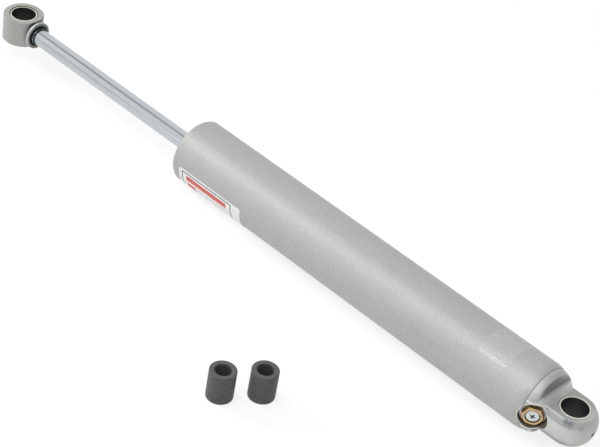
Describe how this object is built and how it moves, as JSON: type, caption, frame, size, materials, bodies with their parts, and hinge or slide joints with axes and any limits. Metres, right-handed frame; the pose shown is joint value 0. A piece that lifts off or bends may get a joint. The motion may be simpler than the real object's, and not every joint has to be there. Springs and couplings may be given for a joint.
{
  "type": "gas shock absorber",
  "caption": "Slim monotube gas shock absorber with an eye at each end, a charging valve in its end cap and loose mounting sleeves.",
  "frame": {"origin": "centre of the bush bore in the end cap's eye", "axes": "+X along the shock from the end cap's eye to the rod eye; +Z along both eye bores; the body tube lies on the plane z = -22.5 mm"},
  "size_m": [0.5342, 0.1653, 0.0451],
  "materials": {
    "tube_paint": "matte light grey paint, fine grain",
    "cap_alloy": "satin bead-blasted aluminium",
    "seal_rubber": "smooth black nitrile rubber",
    "bush_metal": "cream-coloured steel back with a black low-friction lining in the bore",
    "valve_brass": "turned brass, satin",
    "zinc_screw": "bright zinc plate",
    "inner_alloy": "turned aluminium",
    "guide_bronze": "bronze-backed bush with a dark lining",
    "plain_steel": "plain machined steel",
    "dust_cap_metal": "pale plated steel",
    "label_vinyl": "white printed label with a thin dark frame and red blocks, no lettering",
    "film_clear": "clear protective film",
    "ring_plastic": "carbon-filled low-friction plastic",
    "rod_chrome": "ground hard chrome",
    "rod_eye_metal": "satin grey plated forging",
    "jam_ring_metal": "blue-grey plated steel",
    "shim_steel": "spring steel, polished",
    "sleeve_dark": "dark coated steel, matte"
  },
  "bodies": {
    "barrel": {"body_tube": "tube_paint", "end_cap": "cap_alloy", "end_cap_o_ring": "seal_rubber", "cap_eye_bush": "bush_metal", "gas_valve_body": "valve_brass", "gas_valve_o_ring": "seal_rubber", "gas_valve_rubber": "seal_rubber", "gas_valve_screw": "zinc_screw", "seal_head": "inner_alloy", "seal_head_o_ring": "seal_rubber", "rod_guide_bush": "guide_bronze", "rod_seal": "seal_rubber", "rod_seal_washer": "plain_steel", "seal_head_circlip": "plain_steel", "dust_cap": "dust_cap_metal", "rod_wiper": "seal_rubber", "paper_label": "label_vinyl", "clear_film": "film_clear"},
    "piston_band": {"piston_ring": "ring_plastic"},
    "rod": {"piston_rod": "rod_chrome", "rod_eye": "rod_eye_metal", "rod_eye_bush": "bush_metal", "rod_jam_ring": "jam_ring_metal", "rebound_bumper": "seal_rubber", "rebound_stop_plate": "plain_steel", "compression_shims": "shim_steel", "piston": "inner_alloy", "rebound_shims": "shim_steel", "rebound_washer": "plain_steel", "piston_nut": "plain_steel"},
    "gas_piston": {"floating_piston": "inner_alloy", "floating_piston_o_ring": "seal_rubber", "floating_piston_band": "ring_plastic"},
    "sleeve_a": {"mount_sleeve_a": "sleeve_dark"},
    "sleeve_b": {"mount_sleeve_b": "sleeve_dark"}
  },
  "joints": [
    {"name": "rod_slide", "type": "slide", "parent": "barrel", "child": "piston_band", "axis": [-1, 0, 0], "range_m": [0, 0.14], "stiffness_N_per_m": 390, "springref_m": -0.35},
    {"name": "rod_spin", "type": "hinge", "parent": "piston_band", "child": "rod", "pos_m": [0.504, 0, 0], "axis": [1, 0, 0], "continuous": true},
    {"name": "gas_piston_slide", "type": "slide", "parent": "barrel", "child": "gas_piston", "axis": [-1, 0, 0], "range_m": [0, 0.0127]},
    {"name": "sleeve_a_lift", "type": "slide", "parent": "barrel", "child": "sleeve_a", "axis": [0, 0, 1], "range_m": [0, 0.06]},
    {"name": "sleeve_b_lift", "type": "slide", "parent": "barrel", "child": "sleeve_b", "axis": [0, 0, 1], "range_m": [0, 0.06]}
  ],
  "couplings": [
    {"joint": "gas_piston_slide", "follows": "rod_slide", "ratio": 0.09}
  ]
}
